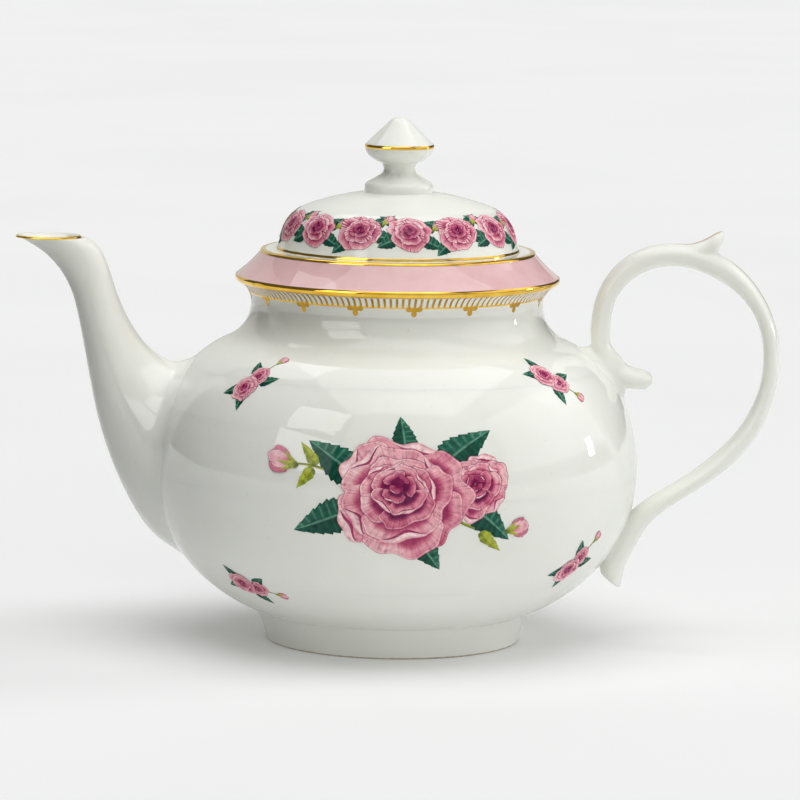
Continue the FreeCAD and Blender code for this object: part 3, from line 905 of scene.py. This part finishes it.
def bloom(radius, rings, line=0.2, lips=0.0):
    """A full double flower: rings of overlapping petals round a closed heart."""
    flower = Painting()
    for index, (count, length, width, dark, colours) in enumerate(rings):
        inner = rings[index + 1][1] if index + 1 < len(rings) else 0.0
        turn = chance.uniform(0, 6.28)
        rise = 0.04 * radius * index
        order = sorted(range(count), key=lambda k: -math.sin(turn + 2 * math.pi * k / count))
        for spot in order:
            angle = turn + 2 * math.pi * spot / count + chance.uniform(-0.2, 0.2)
            size = chance.uniform(0.88, 1.06) * (1 - 0.08 * math.sin(angle))
            petal_with_shade(
                flower, 0.05 * radius * math.cos(angle), 0.05 * radius * math.sin(angle) + rise, angle,
                length * radius * size, width * radius * chance.uniform(0.88, 1.12), colours,
                dark=dark, line=line, lip=chance.random() < lips, light=chance.uniform(-0.12, 0.10),
                hidden=0.94 * inner / length, ruffle=0.04)
    for patch in flower.patches:
        patch[1] = patch[1] * FLOWER_SQUASH
    return flower


def leaf(painting, x, y, angle, length, width, colours=LEAF, bend=0.3, teeth=8):
    """A toothed leaf, one half lighter, with a pale midrib and side veins that reach the teeth."""
    share = np.linspace(0, 1, max(facets(length), 6 * teeth + 1))[:, None]
    side = np.linspace(-1, 1, 2 * facets(width) + 3)[None, :]
    shape = np.sin(math.pi * share ** 0.75) ** 0.85 * (1 - 0.25 * share)
    saw = (share * teeth) % 1.0
    tooth = 1 - 0.17 * saw * smooth(0.75, 1.0, np.abs(side))
    flat_x = length * share - 0.12 * length * np.abs(side) * shape
    flat_y = width * side * shape * tooth + bend * length * share ** 2 * 0.35
    vein = np.exp(-((((share - 0.10 * np.abs(side)) * teeth) % 1.0 - 0.5) / 0.13) ** 2)
    rib = smooth(0.10, 0.0, np.abs(side))
    half = 0.5 + 0.5 * np.sign(side) * math.copysign(1.0, math.cos(angle))
    tone = 0.20 + 0.26 * half + 0.26 * vein * smooth(0.02, 0.2, np.abs(side)) + 0.55 * rib
    tone = tone + 0.18 * smooth(0.6, 1.0, share) - 0.20 * smooth(0.35, 0.0, share)
    tone = tone - 0.16 * smooth(0.82, 1.0, np.abs(side))
    seed = chance.uniform(0, 50)
    painting.patch(*turned(x, y, angle, flat_x, flat_y), toned(tone, *colours),
                   stroke_map(side * 3.5 + seed, share * 7 + seed))


def stem(painting, start, middle, end, wide):
    """A tapered stalk along a bow."""
    share = np.linspace(0, 1, 20)[:, None]
    start, middle, end = (np.array(spot, float) for spot in (start, middle, end))
    line = start * (1 - share) ** 2 + 2 * middle * share * (1 - share) + end * share ** 2
    run = np.gradient(line, axis=0)
    run /= np.hypot(run[:, 0], run[:, 1])[:, None]
    sides = np.linspace(-0.5, 0.5, 5)[None, :]
    width = wide * (1 - 0.45 * share)
    tone = 0.5 + sides * 0.9 + 0 * share
    painting.patch(line[:, :1] - run[:, 1:] * sides * width, line[:, 1:] + run[:, :1] * sides * width,
                   toned(tone, OLIVE, LIME), stroke_map(sides * 4, share * 8))


def bud(painting, x, y, angle, length):
    """A closed bud in its green cup."""
    cos, sin = math.cos(angle), math.sin(angle)
    for lean, part, colours in (
            (0.30, 0.95, (MAGENTA, ROSE, PINK)), (-0.30, 0.95, (MAGENTA, ROSE, PINK)),
            (0.0, 1.0, (ROSE, PINK, BLUSH))):
        petal_with_shade(painting, x, y, angle + lean, length * part, length * 0.30, colours, ruffle=0.02,
                         line=0.12)
    for lean, part in ((0.55, 0.62), (-0.55, 0.62), (0.12, 0.72)):
        leaf(painting, x - cos * length * 0.08, y - sin * length * 0.08, angle + lean, length * part,
             length * 0.10, FRESH, bend=0.2 * lean, teeth=1)
    petal(painting, x - cos * length * 0.22, y - sin * length * 0.22, angle, length * 0.34,
          length * 0.15, (OLIVE, OLIVE, LIME), ruffle=0.0)


FULL_RINGS = [
    # petals, length and width by the flower's radius, colours of the edge below, colours of the petal
    (6, 0.98, 0.56, SOFT_EDGE, OUTER),
    (5, 0.75, 0.50, SOFT_EDGE, OUTER),
    (5, 0.53, 0.38, EDGE, INNER),
    (4, 0.35, 0.28, EDGE, INNER),
    (3, 0.20, 0.18, HEART_EDGE, INNER[:4]),
    (2, 0.10, 0.09, HEART_EDGE, INNER[:3]),
]
SMALL_RINGS = [
    (6, 0.98, 0.56, EDGE, OUTER),
    (5, 0.68, 0.44, EDGE, INNER),
    (4, 0.42, 0.32, EDGE, INNER[:4]),
    (3, 0.22, 0.20, HEART_EDGE, INNER[:3]),
]


def large_spray():
    """A full flower with a smaller one at its right, buds at both ends and a fan of leaves."""
    spray = Painting()
    stem(spray, (-14, 4), (-27, 10), (-35, 9), 1.1)
    stem(spray, (16, -6), (28, -14), (37, -12), 1.1)
    for x, y, angle, length, width in (
            (-14, 6, 2.45, 19, 7.0), (-16, -5, 3.55, 20, 6.8), (14, 10, 0.75, 19, 7.0),
            (24, -4, -0.55, 17, 6.0), (5, -12, -1.0, 16, 5.8), (2, 14, 1.65, 12, 4.8)):
        leaf(spray, x, y, angle, length, width, bend=chance.uniform(-0.5, 0.5))
    leaf(spray, 27, -12, -0.9, 10, 2.5, FRESH, teeth=3)
    leaf(spray, -27, 9, 2.1, 9, 2.3, FRESH, teeth=3)
    leaf(spray, -28, 8, 3.9, 9, 2.3, FRESH, teeth=3)
    spray.add(bloom(12.0, SMALL_RINGS, lips=0.5).moved(25, 3, 1.0, 0.3))
    bud(spray, -35, 9, 2.9, 9.5)
    bud(spray, 37, -12, 0.2, 7.5)
    spray.add(bloom(23.0, FULL_RINGS, lips=0.6))
    return spray


def small_sprig():
    """Two small flowers between leaves and a bud, in a short row."""
    sprig = Painting()
    stem(sprig, (2, 0), (7, 1.5), (9.5, 1.2), 0.5)
    for x, y, angle, length in (
            (-3, 1, 2.5, 6.0), (-3, -1, 3.7, 5.5), (2, 2, 0.9, 5.0), (2, -2, -0.7, 5.5)):
        leaf(sprig, x, y, angle, length, 1.9, teeth=5)
    bud(sprig, 8.5, 1.2, 0.2, 3.2)
    sprig.add(bloom(3.4, SMALL_RINGS, line=0.10).moved(2.6, 0.4, 1.0, 1.0))
    sprig.add(bloom(4.3, SMALL_RINGS, line=0.10).moved(-2.2, 0.0, 1.0, 0.0))
    return sprig


def garland_part():
    """One flower of the lid's garland with its leaves and a bud."""
    part = Painting()
    for x, y, angle, length in (
            (4, 1, 0.5, 7.5), (4.5, -2, -0.4, 7.0), (-4, 2, 2.5, 6.0), (-4, -3, 3.6, 6.0)):
        leaf(part, x, y, angle, length, 2.5, teeth=5)
    bud(part, 7.3, 1.6, 1.0, 4.0)
    part.add(bloom(6.6, SMALL_RINGS, line=0.14, lips=0.3))
    return part


SPRAY_HEIGHT = 60.0
SPRAY_TURN = 0.02
SPRIG_SIZE = 1.25
SPRIGS = [
    # turn round the pot, height and tilt
    (-0.74, 92.0, 0.95), (0.84, 94.0, -0.85), (-0.76, 25.0, -0.40), (0.92, 33.0, 0.75),
]
GARLAND_FLOWERS = 14
GARLAND_START = 0.1
GARLAND_SIZE = 1.1
GARLAND_TILTS = (-0.12, 0.15)
GARLAND_MIDDLE = LID.length_at(36.0, 141.0) - 1.1


def painted_pot():
    def length_at(height):
        return float(np.interp(height, POT.points[:, 1], POT.lengths))

    spray = large_spray()
    length = length_at(SPRAY_HEIGHT)
    spray.wrap("spray_front", "pot", POT, [(SPRAY_TURN, length)])
    spray.moved(0, 0, 1.0, 0.0, mirror=-1).wrap("spray_back", "pot", POT, [(math.pi, length)])
    for side, start in (("front", 0.0), ("back", math.pi)):
        for index, (turn, height, tilt) in enumerate(SPRIGS):
            sprig = small_sprig().moved(0, 0, SPRIG_SIZE, tilt)
            sprig.wrap(f"sprig_{side}_{index}", "pot", POT, [(start + turn, length_at(height))])


def painted_lid():
    step = 2 * math.pi / GARLAND_FLOWERS
    parts = [garland_part() for tilt in GARLAND_TILTS]
    for index, (part, tilt) in enumerate(zip(parts, GARLAND_TILTS)):
        spots = [(GARLAND_START + step * flower, GARLAND_MIDDLE)
                 for flower in range(index, GARLAND_FLOWERS, len(parts))]
        part.moved(0, 0, GARLAND_SIZE, tilt).wrap(f"garland_{index}", "lid", LID, spots)


painted_pot()
painted_lid()


# Stage: pale floor, soft light from above and the right, and the photograph's camera

FLOOR_HALF = 9.0
FLOOR_SPLIT = -0.15
# A weak glow of the floor keeps its shadows as pale as the photograph's
floor_shader = Shader("floor", Roughness=0.8, Specular_IOR_Level=0.0, Emission_Strength=0.14)
floor_shader.set(Base_Color=floor_shader.ramp(
    floor_shader.noise(3.0, 3.0), (0.3, (0.688, 0.692, 0.692)), (0.7, (0.706, 0.710, 0.710))))


def floor(name, start, end):
    """A strip of the floor from one X to another."""
    mesh = bpy.data.meshes.new(name)
    mesh.from_pydata([(start, -FLOOR_HALF, 0), (end, -FLOOR_HALF, 0), (end, FLOOR_HALF, 0),
                      (start, FLOOR_HALF, 0)], [], [(0, 1, 2, 3)])
    mesh.materials.append(floor_shader.material)
    holder = linked(name, mesh)
    return holder


# The far left of the floor throws no light back, so that the spout's side doesn't fill with it
floor("floor", FLOOR_SPLIT, FLOOR_HALF)
floor("floor_left", -FLOOR_HALF, FLOOR_SPLIT).visible_diffuse = False


def panel(name, place, aim, width, height, brightness):
    """A bright panel that shows only as a reflection in the glaze and the gilding."""
    light = bpy.data.lights.new(name, "AREA")
    light.shape = "RECTANGLE"
    light.size = width
    light.size_y = height
    light.energy = brightness * width * height * math.pi
    holder = linked(name, light)
    holder.location = place
    holder.rotation_euler = (Vector(aim) - Vector(place)).to_track_quat("-Z", "Y").to_euler()
    holder.visible_camera = False
    holder.visible_diffuse = False


def sun(name, towards, power, spread, colour):
    """Broad even light from far away, which the glaze doesn't mirror."""
    light = bpy.data.lights.new(name, "SUN")
    light.energy = power
    light.angle = math.radians(spread)
    light.color = colour
    holder = linked(name, light)
    holder.rotation_euler = Vector(towards).to_track_quat("Z", "Y").to_euler()
    holder.visible_glossy = False


POT_MIDDLE = (0.0, 0.0, 0.08)
PANE_AWAY = 1.8


def pane(name, turn, half_turn, low, high, brightness):
    """A panel that faces the pot.

    Its turn from the camera towards +X and its heights are angles, as seen from the pot.
    """
    low, high = math.radians(low), math.radians(high)
    rise = (low + high) / 2
    level = math.cos(rise)
    towards = Vector((math.sin(turn) * level, -math.cos(turn) * level, math.sin(rise)))
    width = 2 * PANE_AWAY * level * math.tan(half_turn)
    height = 2 * PANE_AWAY * math.tan((high - low) / 2)
    place = towards * PANE_AWAY + Vector(POT_MIDDLE)
    panel(name, place, POT_MIDDLE, width, height, brightness)


SUNS = [
    # name, direction, strength, spread and colour
    ("key", (0.86, 0.27, 0.42), 0.86, 28.0, (0.99, 0.99, 1.0)),
    ("top", (0.02, -0.10, 0.985), 2.03, 60.0, (0.985, 0.985, 1.0)),
    ("fill", (0.62, -0.78, 0.04), 0.36, 50.0, (1.0, 1.0, 0.98)),
]
PANES = [
    # name, turn, half its width in radians, lower and upper edge in degrees, brightness
    ("lamp", 1.860, 0.038, 4.3, 11.3, 22.0),
    ("left_window_low", -0.78, 0.27, 7.0, 26.0, 2.5),
    ("left_window_high", -0.78, 0.27, 28.0, 50.0, 2.5),
    ("roof_window", -2.40, 0.42, 49.0, 68.0, 1.5),
    ("right_wall", 1.55, 0.62, 7.0, 46.0, 0.9),
    ("right_window", 1.95, 0.24, 28.0, 48.0, 0.4),
]
for looks in SUNS:
    sun(*looks)
for looks in PANES:
    pane(*looks)
SKYLIGHT = (0.12, -0.16, 1.88)
panel("skylight", SKYLIGHT, (*SKYLIGHT[:2], 0.0), 1.75, 2.40, 1.2884)

# The room that lights the china and that the glaze mirrors: a bright wall in front, a less bright
# one behind, and dim sides. Turns start at the camera and grow to +X.
WALL_LIGHT = 0.62
WALL_START = -0.45
WALL_END = 0.85
WALL_BOTTOM = 0.12
WALL_TOP = 0.955
BACK_LIGHT = 0.50
BACK_START = 2.86
BACK_END = -2.45
BACK_TOP = 0.80
WORLD_BASE = 0.12
TURN_EDGE = 0.01
RISE_EDGE = 0.02
world = bpy.data.worlds.new("pale_room")
world.use_nodes = True
room = Nodes(world.node_tree)
towards = room.node("SeparateXYZ", Vector=room.node("TexCoord").outputs["Generated"]).outputs
turn = room.calc("ARCTAN2", towards["X"], room.calc("MULTIPLY", towards["Y"], -1.0))


def between(value, low, high, edge):
    """1 from low to high and 0 elsewhere, with a narrow slope at both ends."""
    rise = room.spread(value, low, low + edge)
    return room.calc("MULTIPLY", rise, room.spread(value, high + edge, high))


wall = room.calc("MULTIPLY", between(turn, WALL_START, WALL_END, TURN_EDGE),
                 between(towards["Z"], WALL_BOTTOM, WALL_TOP, RISE_EDGE))
behind = room.calc("SUBTRACT", 1.0, between(turn, BACK_END, BACK_START, TURN_EDGE))
behind = room.calc("MULTIPLY", behind, between(towards["Z"], 0.0, BACK_TOP, RISE_EDGE))
level = room.calc("MULTIPLY_ADD", wall, WALL_LIGHT, WORLD_BASE)
level = room.calc("MULTIPLY_ADD", behind, BACK_LIGHT, level)
sky = room.tree.nodes["Background"]
sky.inputs["Color"].default_value = (0.985, 1.0, 0.93, 1.0)
room.feed(sky.inputs["Strength"], level)
bpy.context.scene.world = world

CAMERA_AIM = Vector((1.45, 0.0, 80.4)) * MM
CAMERA_AWAY = 1.7
CAMERA_PITCH = math.radians(7.5)
CAMERA_ROLL = math.radians(0.9)
FRAME_WIDTH = 0.2676            # of what the picture shows at the pot
SENSOR = 36.0

camera_data = bpy.data.cameras.new("camera")
camera_data.sensor_width = SENSOR
camera_data.lens = SENSOR * CAMERA_AWAY / FRAME_WIDTH
camera_data.clip_end = 100.0
camera = linked("camera", camera_data)
away = Vector((0.0, -math.cos(CAMERA_PITCH), math.sin(CAMERA_PITCH)))
facing = (-away).to_track_quat("-Z", "Y").to_matrix().to_4x4()
camera.matrix_world = (Matrix.Translation(CAMERA_AIM + away * CAMERA_AWAY)
                       @ facing @ Matrix.Rotation(CAMERA_ROLL, 4, "Z"))
bpy.context.scene.camera = camera
bpy.context.scene.view_settings.view_transform = "Standard"
